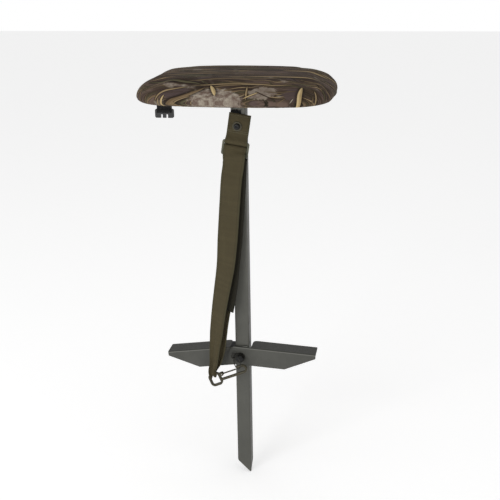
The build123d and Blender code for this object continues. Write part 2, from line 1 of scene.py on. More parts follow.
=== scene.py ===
import math

import bmesh
import bpy
import numpy as np
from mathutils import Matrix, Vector


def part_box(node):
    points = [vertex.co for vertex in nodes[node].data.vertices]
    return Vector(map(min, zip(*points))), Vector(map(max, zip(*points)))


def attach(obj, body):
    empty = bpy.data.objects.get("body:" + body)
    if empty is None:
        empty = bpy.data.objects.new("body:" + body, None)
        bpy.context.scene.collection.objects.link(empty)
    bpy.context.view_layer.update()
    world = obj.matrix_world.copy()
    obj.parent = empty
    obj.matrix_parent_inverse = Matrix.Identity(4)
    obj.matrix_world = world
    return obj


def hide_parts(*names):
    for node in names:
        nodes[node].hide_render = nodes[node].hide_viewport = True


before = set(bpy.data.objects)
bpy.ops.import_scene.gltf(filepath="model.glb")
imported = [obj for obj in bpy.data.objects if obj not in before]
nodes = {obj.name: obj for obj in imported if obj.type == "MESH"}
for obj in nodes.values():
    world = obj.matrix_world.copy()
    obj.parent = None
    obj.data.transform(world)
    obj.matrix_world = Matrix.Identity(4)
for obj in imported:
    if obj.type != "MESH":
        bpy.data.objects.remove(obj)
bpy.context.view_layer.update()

MM = 0.001

# ---- sizes taken from the frame ---------------------------------------------------------------
seat_low, seat_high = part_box("seat_cushion")
half_seat = np.array([(seat_high.x - seat_low.x) / 2, (seat_high.y - seat_low.y) / 2])
seat_base, seat_top = seat_low.z, seat_high.z
board_low, board_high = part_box("seat_board")
half_board = np.array([(board_high.x - board_low.x) / 2, (board_high.y - board_low.y) / 2])
slider_low, slider_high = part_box("strap_slider")
slider_mid = (slider_low + slider_high) / 2
tube_low, tube_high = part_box("stake_tube")
tube_face = tube_low.y
half_tube = tube_high.x
washer_low, washer_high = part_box("strap_washer")
washer_mid = (washer_low + washer_high) / 2


# ---- surfaces ---------------------------------------------------------------------------------
def surface(name, points, uv=None, wrap_u=False, wrap_v=False, capped=False):
    """A skin of quads over a grid of points. A wrapped direction joins its last row to its first, and a
    capped one closes the first and last rings of the other direction with a face each."""
    rows, columns = points.shape[:2]
    rows_used, columns_used = rows if wrap_u else rows - 1, columns if wrap_v else columns - 1
    u, v = np.meshgrid(np.arange(rows_used), np.arange(columns_used), indexing="ij")
    corners = [(u, v), (u + 1, v), (u + 1, v + 1), (u, v + 1)]
    quads = np.stack([(a % rows) * columns + b % columns for a, b in corners], -1).reshape(-1, 4)
    faces = quads.tolist()
    if capped:
        ring = np.arange(columns)
        faces += [ring.tolist(), ((rows - 1) * columns + ring[::-1]).tolist()]
    mesh = bpy.data.meshes.new(name)
    mesh.from_pydata(points.reshape(-1, 3).tolist(), [], faces)
    if uv is not None:
        layer = mesh.uv_layers.new(name="UVMap")
        flat = np.zeros((len(mesh.loops), 2), np.float32)
        flat[:4 * len(quads)] = np.stack([uv[a, b] for a, b in corners], -2).reshape(-1, 2)
        layer.data.foreach_set("uv", flat.ravel())
    return finished(name, mesh)


def finished(name, mesh):
    """An object for a mesh, smooth, with its faces outwards."""
    shape = bmesh.new()
    shape.from_mesh(mesh)
    bmesh.ops.recalc_face_normals(shape, faces=shape.faces)
    shape.to_mesh(mesh)
    shape.free()
    mesh.polygons.foreach_set("use_smooth", np.ones(len(mesh.polygons), bool))
    piece = bpy.data.objects.new(name, mesh)
    bpy.context.scene.collection.objects.link(piece)
    return piece


def modify(piece, kind, **settings):
    """Adds a modifier of a kind to a piece, with the settings given."""
    modifier = piece.modifiers.new(kind.title(), kind)
    for key, value in settings.items():
        setattr(modifier, key, value)
    return modifier


def give(piece, material, body="frame", replaces=()):
    """Dresses a new piece, hangs it on the body it rides on, and hides the CAD nodes it stands for."""
    piece.data.materials.clear()
    piece.data.materials.append(material)
    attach(piece, body)
    if replaces:
        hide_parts(*replaces)
    return piece


def through(stations, step):
    """A smooth line through stations whose first three numbers are a point. Between two stations each number
    is a cubic of the distance along, with its slope at a station taken between that station's neighbours."""
    stations = np.asarray(stations, float)
    chord = np.linalg.norm(np.diff(stations[:, :3], axis=0), axis=1)
    along = np.concatenate([[0], np.cumsum(chord)])
    slope = np.gradient(stations, along, axis=0)
    count = max(int(along[-1] / step), len(stations)) + 1
    at = np.linspace(0, along[-1], count)
    k = np.clip(np.searchsorted(along, at, side="right") - 1, 0, len(along) - 2)
    span = (along[k + 1] - along[k])[:, None]
    t = (at - along[k])[:, None] / span
    start = (1 + 2 * t) * (1 - t) ** 2 * stations[k] + t * (1 - t) ** 2 * span * slope[k]
    end = t * t * (3 - 2 * t) * stations[k + 1] + t * t * (t - 1) * span * slope[k + 1]
    return start + end


def unit(vectors):
    """The vectors, each scaled to a length of one."""
    return vectors / np.linalg.norm(vectors, axis=-1, keepdims=True)


def webbing(name, middle, across, width, thick, folds=0.0, waves=1.5, columns=19):
    """A woven strap: a thin closed profile carried along a line of middles. The profile is a strip of the
    strap's thickness whose two edges are half circles. Where the strap is folded, its middle line is a cosine
    of the place across, folds high, with waves crests over the width."""
    tangent = unit(np.gradient(middle, axis=0))
    across = unit(across - np.sum(across * tangent, 1)[:, None] * tangent)
    normal = np.cross(tangent, across)
    share = np.sin(np.linspace(-math.pi / 2, math.pi / 2, columns))
    width = np.broadcast_to(width, len(middle)).astype(float)
    folds = np.broadcast_to(folds, len(middle)).astype(float)
    inner = np.clip((np.abs(share[None]) - 1) * width[:, None] / thick + 1, 0, 1)
    least = 0.02 * MM                       # keeps the two faces apart at the very edge
    rise = thick / 2 * np.sqrt(np.clip(1 - inner ** 2, 0, 1)) + least
    wave = folds[:, None] * np.cos(2 * math.pi * waves * (share[None] + 1) / 2)
    side = share[None] * width[:, None] / 2
    front = middle[:, None] + across[:, None] * side[..., None] + normal[:, None] * (wave + rise)[..., None]
    back = middle[:, None] + across[:, None] * side[..., None] + normal[:, None] * (wave - rise)[..., None]
    points = np.concatenate([front, back[:, ::-1]], axis=1)
    travel = np.concatenate([[0], np.cumsum(np.linalg.norm(np.diff(middle, axis=0), axis=1))])
    flat = np.concatenate([share, share[::-1], share[:1]]) * web_width / 2
    uv = np.stack(np.broadcast_arrays(travel[:, None], flat[None]), -1)
    return surface(name, points, uv=uv, wrap_v=True, capped=True)


def tubes(name, starts, ends, radius, bulge=1.0, sides=6, rings=5):
    """Many short threads as one mesh: each is a thin spindle from its start to its end, its radius a sine of
    the distance along it raised to a small power, and its middle lifted to the front by bulge radii."""
    starts, ends = np.asarray(starts, float), np.asarray(ends, float)
    line = unit(ends - starts)
    side = unit(np.cross(line, np.where(np.abs(line[:, 2:]) < 0.9, [[0, 0, 1.0]], [[1.0, 0, 0]])))
    up = np.cross(side, line)
    t = np.linspace(0.02, 0.98, rings)[None, :, None, None]
    turn = np.linspace(0, 2 * math.pi, sides, endpoint=False)[None, None, :, None]
    swell = radius * np.sin(math.pi * t) ** 0.35
    middle = starts[:, None, None] + (ends - starts)[:, None, None] * t
    points = middle + swell * (np.cos(turn) * side[:, None, None] + np.sin(turn) * up[:, None, None])
    points = points + bulge * radius * np.sin(math.pi * t) * np.array([0, -1.0, 0])
    many = len(starts)
    k, r, s = np.meshgrid(np.arange(many), np.arange(rings - 1), np.arange(sides), indexing="ij")
    at = [(r, s), (r + 1, s), (r + 1, (s + 1) % sides), (r, (s + 1) % sides)]
    quads = np.stack([(k * rings + a) * sides + b for a, b in at], -1).reshape(-1, 4)
    ring = np.arange(many)[:, None] * rings * sides + np.arange(sides)[None]
    faces = quads.tolist() + ring.tolist() + (ring[:, ::-1] + (rings - 1) * sides).tolist()
    mesh = bpy.data.meshes.new(name)
    mesh.from_pydata(points.reshape(-1, 3).tolist(), [], faces)
    return finished(name, mesh)


# ---- materials: short ways to build a tree ----------------------------------------------------
def finish_tree(name, **constants):
    """A new material with one Principled shader, whose constant values are set on its own sockets."""
    material = bpy.data.materials.new(name)
    material.use_nodes = True
    tree = material.node_tree
    tree.nodes.clear()
    shader = tree.nodes.new("ShaderNodeBsdfPrincipled")
    output = tree.nodes.new("ShaderNodeOutputMaterial")
    tree.links.new(shader.outputs["BSDF"], output.inputs["Surface"])
    for key, value in constants.items():
        shader.inputs[key.replace("_", " ")].default_value = value
    return material, tree, shader


def put(tree, kind, sockets, **settings):
    """Adds a node. Sockets maps an input's name or number to a value, or to the output that feeds it."""
    node = tree.nodes.new("ShaderNode" + kind)
    for key, value in settings.items():
        setattr(node, key, value)
    for key, value in sockets.items():
        if isinstance(value, bpy.types.NodeSocket):
            tree.links.new(value, node.inputs[key])
        else:
            node.inputs[key].default_value = value
    return node


def sums(tree, operation, *values, clamp=False):
    """One Math node's result."""
    node = put(tree, "Math", dict(enumerate(values)), operation=operation, use_clamp=clamp)
    return node.outputs[0]


def ramp(tree, value, low, high, to_low=0.0, to_high=1.0):
    """A value carried smoothly from one range to another."""
    return put(tree, "MapRange", {"Value": value, "From Min": low, "From Max": high, "To Min": to_low,
                                  "To Max": to_high}, interpolation_type="SMOOTHSTEP").outputs[0]


def mixed(tree, share, first, second, blend="MIX"):
    """One colour laid over another."""
    node = put(tree, "Mix", {0: share, 6: first, 7: second}, data_type="RGBA", blend_type=blend)
    return node.outputs[2]


def noise(tree, coordinates, scale, detail=3.0, roughness=0.55, distortion=0.0):
    """Cloudy noise between 0 and 1."""
    return put(tree, "TexNoise", {"Vector": coordinates, "Scale": scale, "Detail": detail,
                                  "Roughness": roughness, "Distortion": distortion}).outputs[0]


def stretched(tree, coordinates, scale, turn=0.0, place=(0, 0, 0)):
    """Coordinates divided by a size along each axis, after a turn about Z."""
    return put(tree, "Mapping", {"Vector": coordinates, "Location": place, "Rotation": (0, 0, turn),
                                 "Scale": scale}, vector_type="TEXTURE").outputs[0]


def bump(tree, shader, height, distance, strength=1.0):
    """Relief on the surface from a height, without moving the mesh."""
    node = put(tree, "Bump", {"Height": height, "Distance": distance, "Strength": strength})
    tree.links.new(node.outputs[0], shader.inputs["Normal"])


def object_place(tree):
    """A point's place in the piece, which stays with the piece when it moves."""
    return put(tree, "TexCoord", {}).outputs["Object"]


def facing(tree, axis):
    """How far a face looks along one of the piece's own axes: 1 along it, 0 across it and -1 against it."""
    normal = put(tree, "TexCoord", {}).outputs["Normal"]
    return put(tree, "SeparateXYZ", {0: normal}).outputs[axis]


def shade(base, share):
    """A colour made darker or lighter by a share of itself."""
    return (*(part * share for part in base[:3]), 1.0)


def colour(red, green, blue):
    """A linear colour from the 0 to 255 steps of a swatch."""
    steps = np.array([red, green, blue]) / 255
    linear = np.where(steps <= 0.04045, steps / 12.92, ((steps + 0.055) / 1.055) ** 2.4)
    return (*linear.tolist(), 1.0)


# ---- metals, paints and plastics --------------------------------------------------------------
def powder_coat(name, base, worn, corner=None, fold=False, painted_stake_shade=False):
    """A satin powder coat: fine orange peel, faint cloudiness and long thin scratches. A square tube's four
    corners, where the faces at the corner distance from the middle meet, are rubbed lighter. On folded plate
    the bend is painted lighter, a painted highlight, and the ledge that faces up is painted darker, painted
    shade. A stake with painted shade is darker towards its point and on its two side faces, painted shade."""
    material, tree, shader = finish_tree(name, Specular_IOR_Level=0.4)
    place = object_place(tree)
    cloud = noise(tree, place, 22, 4)
    tone = mixed(tree, ramp(tree, cloud, 0.3, 0.7), base, shade(base, 1.22))
    scuff = noise(tree, stretched(tree, place, (0.3, 0.3, 1.6)), 95, 4, 0.65)
    parts = put(tree, "SeparateXYZ", {0: place}).outputs
    if corner is not None:
        rub_width = 1.2 * MM
        close = []
        for axis in (0, 1):
            off = sums(tree, "SUBTRACT", sums(tree, "ABSOLUTE", parts[axis]), corner)
            close.append(ramp(tree, sums(tree, "ABSOLUTE", off), rub_width, 0.0))
        rubbed = sums(tree, "MULTIPLY", *close)
        wear = sums(tree, "MULTIPLY", rubbed, ramp(tree, scuff, 0.42, 0.62), clamp=True)
        tone = mixed(tree, wear, tone, worn)
    scratch = ramp(tree, noise(tree, stretched(tree, place, (0.02, 0.02, 0.7)), 60, 2), 0.66, 0.72)
    tone = mixed(tree, sums(tree, "MULTIPLY", scratch, 0.25), tone, worn)
    # painted shade: the stake is painted darker towards its point and on its two side faces
    if painted_stake_shade:
        unshaded_above, darkest_below = 0.62, 0.16
        point_shade = ramp(tree, parts["Z"], unshaded_above, darkest_below, 0.0, 0.6)
        tone = mixed(tree, point_shade, tone, shade(base, 0.3))
        sides = ramp(tree, sums(tree, "ABSOLUTE", facing(tree, "X")), 0.5, 0.9, 0.0, 0.55)
        tone = mixed(tree, sides, tone, shade(base, 0.35))
    # painted highlight: the bend is painted lighter with the worn colour; painted shade: the ledge that faces
    # up is painted darker
    if fold:
        upward = facing(tree, "Z")
        bend = sums(tree, "MULTIPLY", ramp(tree, upward, 0.04, 0.2), ramp(tree, upward, 0.62, 0.4))
        tone = mixed(tree, sums(tree, "MULTIPLY", bend, 0.8), tone, worn)
        tone = mixed(tree, ramp(tree, upward, 0.6, 0.85, 0.0, 0.62), tone, shade(base, 0.4))
    tree.links.new(tone, shader.inputs["Base Color"])
    rough = 0.5
    gloss = ramp(tree, scuff, 0.25, 0.75, rough - 0.07, rough + 0.12)
    tree.links.new(gloss, shader.inputs["Roughness"])
    bump(tree, shader, noise(tree, place, 900, 2), 0.05 * MM, 0.5)
    return material


def plated(name, base, rough=0.3, metallic=1.0, grime=0.5):
    """Plated or oxidised steel with fine turning marks and darker grime in patches."""
    material, tree, shader = finish_tree(name, Metallic=metallic)
    place = object_place(tree)
    grain = noise(tree, place, 420, 3)
    dirt = ramp(tree, noise(tree, place, 140, 4, 0.6), 0.45, 0.7)
    tone = mixed(tree, sums(tree, "MULTIPLY", dirt, grime), base, shade(base, 0.35))
    tree.links.new(tone, shader.inputs["Base Color"])
    tree.links.new(ramp(tree, grain, 0.2, 0.8, rough - 0.06, rough + 0.14), shader.inputs["Roughness"])
    bump(tree, shader, grain, 0.03 * MM, 0.4)
    return material


def moulded(name, base, rough=0.5, sheen=0.0):
    """Moulded plastic or rubber: a fine grained skin, slightly clouded."""
    material, tree, shader = finish_tree(name, Specular_IOR_Level=0.45, Sheen_Weight=sheen)
    place = object_place(tree)
    cloud = noise(tree, place, 60, 3)
    tone = mixed(tree, ramp(tree, cloud, 0.35, 0.7), base, shade(base, 1.5))
    tree.links.new(tone, shader.inputs["Base Color"])
    tree.links.new(ramp(tree, noise(tree, place, 300, 2), 0.3, 0.7, rough - 0.08, rough + 0.1),
                   shader.inputs["Roughness"])
    bump(tree, shader, noise(tree, place, 1500, 2), 0.04 * MM, 0.6)
    return material


def plywood(name):
    """Plywood: long grain on the faces, and thin light and dark plies where the edge shows."""
    material, tree, shader = finish_tree(name, Roughness=0.72)
    place = object_place(tree)
    grain = noise(tree, stretched(tree, place, (6, 0.35, 0.35)), 60, 5, 0.6, 0.6)
    tone = mixed(tree, ramp(tree, grain, 0.3, 0.7), colour(150, 118, 82), colour(196, 163, 120))
    height = put(tree, "SeparateXYZ", {0: place}).outputs["Z"]
    two_plies = 2.4 * MM
    ply = sums(tree, "SINE", sums(tree, "MULTIPLY", height, 2 * math.pi / two_plies))
    steep = sums(tree, "ABSOLUTE", facing(tree, "Z"))
    edge = sums(tree, "MULTIPLY", ramp(tree, ply, -0.2, 0.2), ramp(tree, steep, 0.6, 0.3))
    tree.links.new(mixed(tree, edge, tone, colour(105, 76, 48)), shader.inputs["Base Color"])
    bump(tree, shader, grain, 0.15 * MM, 0.5)
    return material


# ---- woven webbing ----------------------------------------------------------------------------
web_width = 38 * MM
web_thick = 1.6 * MM
groove_place = 15 * MM                  # from the webbing's middle to the groove beside its edge


def woven(name, base, light, selvedge, pick=1.5 * MM, cord=1.9 * MM, fuzz=0.35):
    """Flat woven webbing on its own map: lengthwise cords a column wide, each made of short picks that are
    half a step out of line with the next column, so that the surface reads as fine chevrons. A selvedge of
    another tone runs along each edge, with a groove beside it painted darker, painted shade, and the low
    places of the weave are painted darker, painted shade."""
    material, tree, shader = finish_tree(name, Roughness=0.86, Specular_IOR_Level=0.25, Sheen_Weight=fuzz,
                                         Sheen_Roughness=0.5, Sheen_Tint=light)
    place = put(tree, "UVMap", {}).outputs[0]
    parts = put(tree, "SeparateXYZ", {0: place}).outputs
    column = sums(tree, "DIVIDE", parts["Y"], cord)
    step = sums(tree, "MULTIPLY", sums(tree, "FLOOR", column), 0.5)
    slant = sums(tree, "MULTIPLY", sums(tree, "PINGPONG", column, 1.0), 0.7)
    run = sums(tree, "ADD", sums(tree, "ADD", sums(tree, "DIVIDE", parts["X"], pick), step), slant)
    picks = sums(tree, "ABSOLUTE", sums(tree, "SINE", sums(tree, "MULTIPLY", run, math.pi)))
    cords = sums(tree, "ABSOLUTE", sums(tree, "SINE", sums(tree, "MULTIPLY", column, math.pi)))
    height = sums(tree, "MULTIPLY", sums(tree, "POWER", picks, 0.6), sums(tree, "POWER", cords, 0.5))
    across = noise(tree, stretched(tree, place, (9 * MM, 120 * MM, 1)), 1.0, 3)
    worn = noise(tree, stretched(tree, place, (60 * MM, 14 * MM, 1)), 1.0, 4)
    tone = mixed(tree, ramp(tree, across, 0.35, 0.7, 0.2, 0.5), base, light)
    tone = mixed(tree, sums(tree, "MULTIPLY", ramp(tree, worn, 0.5, 0.75), 0.35), tone, light)
    from_middle = sums(tree, "ABSOLUTE", parts["Y"])
    tone = mixed(tree, ramp(tree, from_middle, 15.2 * MM, 17.5 * MM, 0.0, 0.5), tone, selvedge)
    # painted shade: the groove beside each edge is painted darker
    groove_shade = sums(tree, "MULTIPLY", ramp(tree, from_middle, groove_place - 0.8 * MM, groove_place),
                  ramp(tree, from_middle, groove_place + 0.8 * MM, groove_place))
    tone = mixed(tree, sums(tree, "MULTIPLY", groove_shade, 0.5), tone, shade(base, 0.5))
    # painted shade: the weave's low places are painted darker
    tone = mixed(tree, ramp(tree, height, 0.55, 0.1, 0.0, 0.55), tone, shade(base, 0.35))
    tree.links.new(tone, shader.inputs["Base Color"])
    bump(tree, shader, height, 0.3 * MM, 0.8)
    return material


# ---- printed cover ----------------------------------------------------------------------------
def group_of(name, inputs):
    """A node group with the given inputs and one colour output; returns the group, its inputs and its end."""
    group = bpy.data.node_groups.new(name, "ShaderNodeTree")
    for label, kind in inputs:
        group.interface.new_socket(label, in_out="INPUT", socket_type="NodeSocket" + kind)
    group.interface.new_socket("Over", in_out="OUTPUT", socket_type="NodeSocketColor")
    entry = group.nodes.new("NodeGroupInput")
    end = group.nodes.new("NodeGroupOutput")
    return group, entry.outputs, end.inputs[0]


def in_turn(group, inlet):
    """The cloth's coordinates with a billionth of the colour below added, which moves nothing but makes the
    renderer work the layers one after another, so that any number of them fits."""
    return put(group, "VectorMath", {0: inlet["Under"], 1: (1e-9, 1e-9, 1e-9), 2: inlet["Cloth"]},
               operation="MULTIPLY_ADD").outputs[0]


def one_reed():
    """One printed reed laid over a colour. Along the reed s runs from 0 to 1 and h is s times 1 less s. The
    reed's middle bows by Bow times h, and its half width is 2.2 times h to the 0.6, in units of its size. One
    half of it is darker, as a folded leaf is, and a soft shadow lies round it."""
    group, inlet, end = group_of("one_reed", [("Cloth", "Vector"), ("Under", "Color"), ("Start", "Vector"),
                                              ("Turn", "Vector"), ("Size", "Vector"), ("Bow", "Float"),
                                              ("Tint", "Color")])
    local = put(group, "Mapping", {"Vector": in_turn(group, inlet), "Location": inlet["Start"],
                                   "Rotation": inlet["Turn"], "Scale": inlet["Size"]}, vector_type="TEXTURE")
    parts = put(group, "SeparateXYZ", {0: local.outputs[0]}).outputs
    s, t = parts["X"], parts["Y"]
    hump = sums(group, "MAXIMUM", sums(group, "MULTIPLY_ADD", s, sums(group, "MULTIPLY", s, -1.0), s), 0.0)
    off = sums(group, "MULTIPLY_ADD", hump, inlet["Bow"], t)
    reach = sums(group, "MULTIPLY", sums(group, "POWER", hump, 0.6), 2.2)
    inside = sums(group, "SUBTRACT", reach, sums(group, "ABSOLUTE", off))
    blade = ramp(group, inside, 0.03, 0.28)
    shadow = sums(group, "MULTIPLY", ramp(group, inside, -1.3, 0.0), ramp(group, hump, 0.0, 0.04, 0.0, 0.72))
    fibre = noise(group, stretched(group, local.outputs[0], (0.5, 0.35, 1)), 1.6, 3)
    streaks = ramp(group, fibre, 0.3, 0.72, 0.0, 0.5)
    lit = mixed(group, streaks, inlet["Tint"], (0.5, 0.45, 0.38, 1), "MULTIPLY")
    lit = mixed(group, ramp(group, off, -0.12, 0.12, 0.0, 0.42), lit, (0.3, 0.26, 0.22, 1), "MULTIPLY")
    under = mixed(group, shadow, inlet["Under"], (0.012, 0.009, 0.006, 1))
    group.links.new(mixed(group, blade, under, lit), end)
    return group


def reed_bed():
    """A bed of many reeds over a colour: long thin cells, each a pointed reed with its own tone, swaying a
    little from side to side. Share says how many of the cells hold a reed."""
    group, inlet, end = group_of("reed_bed", [("Cloth", "Vector"), ("Under", "Color"), ("Turn", "Vector"),
                                              ("Size", "Vector"), ("Share", "Float"), ("Pale", "Color"),
                                              ("Dark", "Color")])
    cloth = in_turn(group, inlet)
    sway = noise(group, stretched(group, cloth, (70 * MM, 70 * MM, 1)), 1.0, 1)
    bow = sums(group, "MULTIPLY", sums(group, "SUBTRACT", sway, 0.5), 40 * MM)
    lift = put(group, "CombineXYZ", {"Y": bow})
    bent = put(group, "VectorMath", {0: cloth, 1: lift.outputs[0]}, operation="ADD").outputs[0]
    local = put(group, "Mapping", {"Vector": bent, "Rotation": inlet["Turn"], "Scale": inlet["Size"]},
                vector_type="TEXTURE").outputs[0]
    cells = put(group, "TexVoronoi", {"Vector": local, "Scale": 1.0, "Exponent": 0.75},
                voronoi_dimensions="2D", distance="MINKOWSKI")
    drawn = put(group, "SeparateColor", {0: cells.outputs["Color"]}).outputs
    off = put(group, "VectorMath", {0: local, 1: cells.outputs["Position"]}, operation="SUBTRACT").outputs[0]
    side = put(group, "SeparateXYZ", {0: off}).outputs["Y"]
    there = sums(group, "LESS_THAN", drawn[0], inlet["Share"])
    blade = sums(group, "MULTIPLY", ramp(group, cells.outputs["Distance"], 0.62, 0.5), there)
    shadow = sums(group, "MULTIPLY", ramp(group, cells.outputs["Distance"], 1.0, 0.5, 0.0, 0.6), there)
    tint = mixed(group, drawn[1], inlet["Dark"], inlet["Pale"])
    lit = mixed(group, ramp(group, side, -0.03, 0.03, 0.0, 0.45), tint, (0.3, 0.25, 0.2, 1), "MULTIPLY")
    under = mixed(group, shadow, inlet["Under"], (0.016, 0.012, 0.009, 1))
    group.links.new(mixed(group, blade, under, lit), end)
    return group


def laid(tree, group, sockets):
    """One use of a node group, and its colour."""
    node = tree.nodes.new("ShaderNodeGroup")
    node.node_tree = group
    for key, value in sockets.items():
        if isinstance(value, bpy.types.NodeSocket):
            tree.links.new(value, node.inputs[key])
        else:
            node.inputs[key].default_value = value
    return node.outputs[0]


straw, tan, pale_bark = colour(196, 174, 130), colour(156, 136, 104), colour(158, 149, 135)
olive_leaf, umber, bark = colour(92, 87, 66), colour(58, 46, 38), colour(98, 82, 73)
plum_shade, soot = colour(76, 64, 62), colour(27, 22, 19)
dull_tan = colour(122, 104, 80)

# Reeds that cross the front edge and the top. Each is given by the place of its two ends on the cloth, its
# greatest width and how far its middle bows to its left, all in mm, and its colour. The cloth's middle is the
# seat's middle, and y grows towards the back.
long_reeds = [
    (-62, -101, 112, -96, 3.4, 1.5, tan), (-40, -110, 26, -100, 3.6, 2.0, dull_tan),
    (-150, 40, 30, 74, 13, 0, dull_tan), (72, 4, 158, 12, 12, 3, tan), (-128, -50, 10, -34, 11, 5, dull_tan),
    (20, -66, 150, -44, 9, -5, tan), (-60, -88, 90, -76, 5, 3, dull_tan),
    (-30, 30, 70, 22, 14, -4, olive_leaf), (-140, -74, -40, -98, 6, 2, olive_leaf),
    (-120, -156, -34, -106, 10.0, -6.0, dull_tan),
    (-110, -146, -56, -120, 1.6, -3.0, umber), (-128, -142, -62, -103, 4.8, 7.5, tan),
    (-122, -158, -105, -132, 4.4, 1.0, straw), (-128, -158, -118, -136, 2.8, 0.6, tan),
    (-26, -101, -17, -132, 7.4, 1.5, straw), (33, -102, 33, -142, 3.4, 0.4, tan),
    (28, -139, 54, -119, 3.2, 0.2, straw), (47, -116, 80, -140, 1.8, -1.2, umber),
    (110, -146, 115, -136, 2.4, 0.0, pale_bark), (122, -98, 134, -166, 10.0, -2.5, straw),
    (146, -97, 166, -134, 4.6, 3.0, tan), (158, -80, 186, -108, 4.4, 3.0, olive_leaf),
    (150, -114, 160, -144, 3.2, 1.0, dull_tan), (-150, -90, -176, -122, 4.4, -2.0, dull_tan),
    (-158, -56, -190, -78, 5.4, 2.0, tan), (-104, -124, -70, -120, 2.2, 0.5, bark),
    (60, -118, 118, -116, 2.4, -0.8, dull_tan), (-90, -148, -56, -133, 2.0, 0.4, tan),
]


def patch(tree, cloth, place, size, turn=0.0):
    """An area with a ragged edge: 1 inside, 0 outside, its edge drawn in and out by noise."""
    local = stretched(tree, cloth, (size[0] * MM, size[1] * MM, 1), turn, (place[0] * MM, place[1] * MM, 0))
    far = put(tree, "VectorMath", {0: local}, operation="LENGTH").outputs["Value"]
    ragged = sums(tree, "MULTIPLY_ADD", noise(tree, cloth, 130, 4, 0.65), 1.1, far)
    return ramp(tree, ragged, 1.62, 1.4)


def print_ground(tree, cloth, broad):
    """The print's ground: umber and bark in broad clouds, dark streaks along it, and plum shadows."""
    streak = noise(tree, stretched(tree, cloth, (80 * MM, 6 * MM, 1), 0.03), 1.0, 4, 0.6)
    tone = mixed(tree, ramp(tree, broad, 0.38, 0.62), umber, bark)
    tone = mixed(tree, ramp(tree, streak, 0.45, 0.68, 0.0, 0.8), tone, soot)
    plum = noise(tree, stretched(tree, cloth, (55 * MM, 32 * MM, 1), 0.3, (0.4, 0.1, 0)), 1.0, 2)
    return mixed(tree, ramp(tree, plum, 0.56, 0.68, 0.0, 0.85), tone, plum_shade)


def print_beds(tree, cloth, tone):
    """Five beds of fine reeds, each at its own slant, with its reeds' length and width in mm."""
    bed = reed_bed()
    for turn, long, wide, share, pale, dark in (
            (0.04, 95, 7.0, 0.45, olive_leaf, umber), (-0.08, 130, 4.6, 0.3, dull_tan, umber),
            (0.5, 50, 4.5, 0.12, dull_tan, umber), (-0.8, 38, 3.4, 0.1, olive_leaf, soot),
            (0.12, 62, 2.6, 0.24, tan, soot)):
        tone = laid(tree, bed, {"Cloth": cloth, "Under": tone, "Turn": (0, 0, turn), "Share": share,
                                "Size": (long * MM, wide * MM, 1), "Pale": pale, "Dark": dark})
    return tone


def print_bark(tree, cloth, broad, tone):
    """Pale mottled bark: loose clouds of it, and patches that each have a place, a size in mm and a turn."""
    lichen = noise(tree, cloth, 95, 7, 0.72)
    mottle = mixed(tree, ramp(tree, lichen, 0.38, 0.66), bark, pale_bark)
    smooth_bark = mixed(tree, ramp(tree, broad, 0.3, 0.7), mottle, pale_bark)
    loose = noise(tree, stretched(tree, cloth, (75 * MM, 40 * MM, 1), -0.15, (-0.045, 0.6, 0)), 1.0, 2)
    tone = mixed(tree, ramp(tree, loose, 0.6, 0.66, 0.0, 0.8), tone, mottle)
    for place, size, turn, share, over in (
            ((-84, -126), (34, 18), 0.1, 0.85, plum_shade), ((-18, -138), (46, 27), -0.15, 0.95, mottle),
            ((60, -122), (25, 18), 0.3, 0.85, mixed(tree, 0.35, smooth_bark, bark)),
            ((112, -124), (20, 18), 0.0, 0.85, plum_shade), ((84, -154), (40, 9), 0.0, 0.8, bark),
            ((20, 146), (44, 18), 0.1, 0.9, mottle), ((-96, 140), (34, 14), -0.2, 0.8, plum_shade)):
        there = sums(tree, "MULTIPLY", patch(tree, cloth, place, size, turn), share)
        tone = mixed(tree, there, tone, over)
    return tone


def scattered_reeds():
    """Reeds by a seeded draw around the sides and the back, in the form of the long reeds. Every second one
    lies mostly along the seat, and the others point outwards."""
    draw = np.random.default_rng(11)
    reeds = []
    for k in range(16):
        angle = draw.uniform(-0.25, math.pi + 0.25)
        rim = plan_edge(angle, half_seat / MM + draw.uniform(2, 38))
        turn = draw.normal(0.1, 0.35) if k % 2 else angle + draw.normal(0, 0.3)
        long = draw.uniform(35, 110) if k % 2 else draw.uniform(26, 55)
        way = np.array([math.cos(turn), math.sin(turn)]) * long / 2
        reeds.append((*(rim - way), *(rim + way), draw.uniform(2.2, 7.0), draw.uniform(-5, 5),
                      (straw, tan, dull_tan, olive_leaf, pale_bark)[draw.integers(5)]))
    return reeds


def print_reeds(tree, cloth, tone):
    """The single reeds, one over the other. At a reed's middle h is a quarter, so the reed is 1.9 times its
    size wide there, and four times its bow in units of that size moves the middle by the bow itself."""
    reed = one_reed()
    for x0, y0, x1, y1, wide, bow, tint in scattered_reeds() + long_reeds:
        size = wide / 1.9
        tone = laid(tree, reed, {"Cloth": cloth, "Under": tone, "Start": (x0 * MM, y0 * MM, 0),
                                 "Turn": (0, 0, math.atan2(y1 - y0, x1 - x0)),
                                 "Size": (math.hypot(x1 - x0, y1 - y0) * MM, size * MM, 1),
                                 "Bow": -4 * bow / size, "Tint": tint})
    return tone


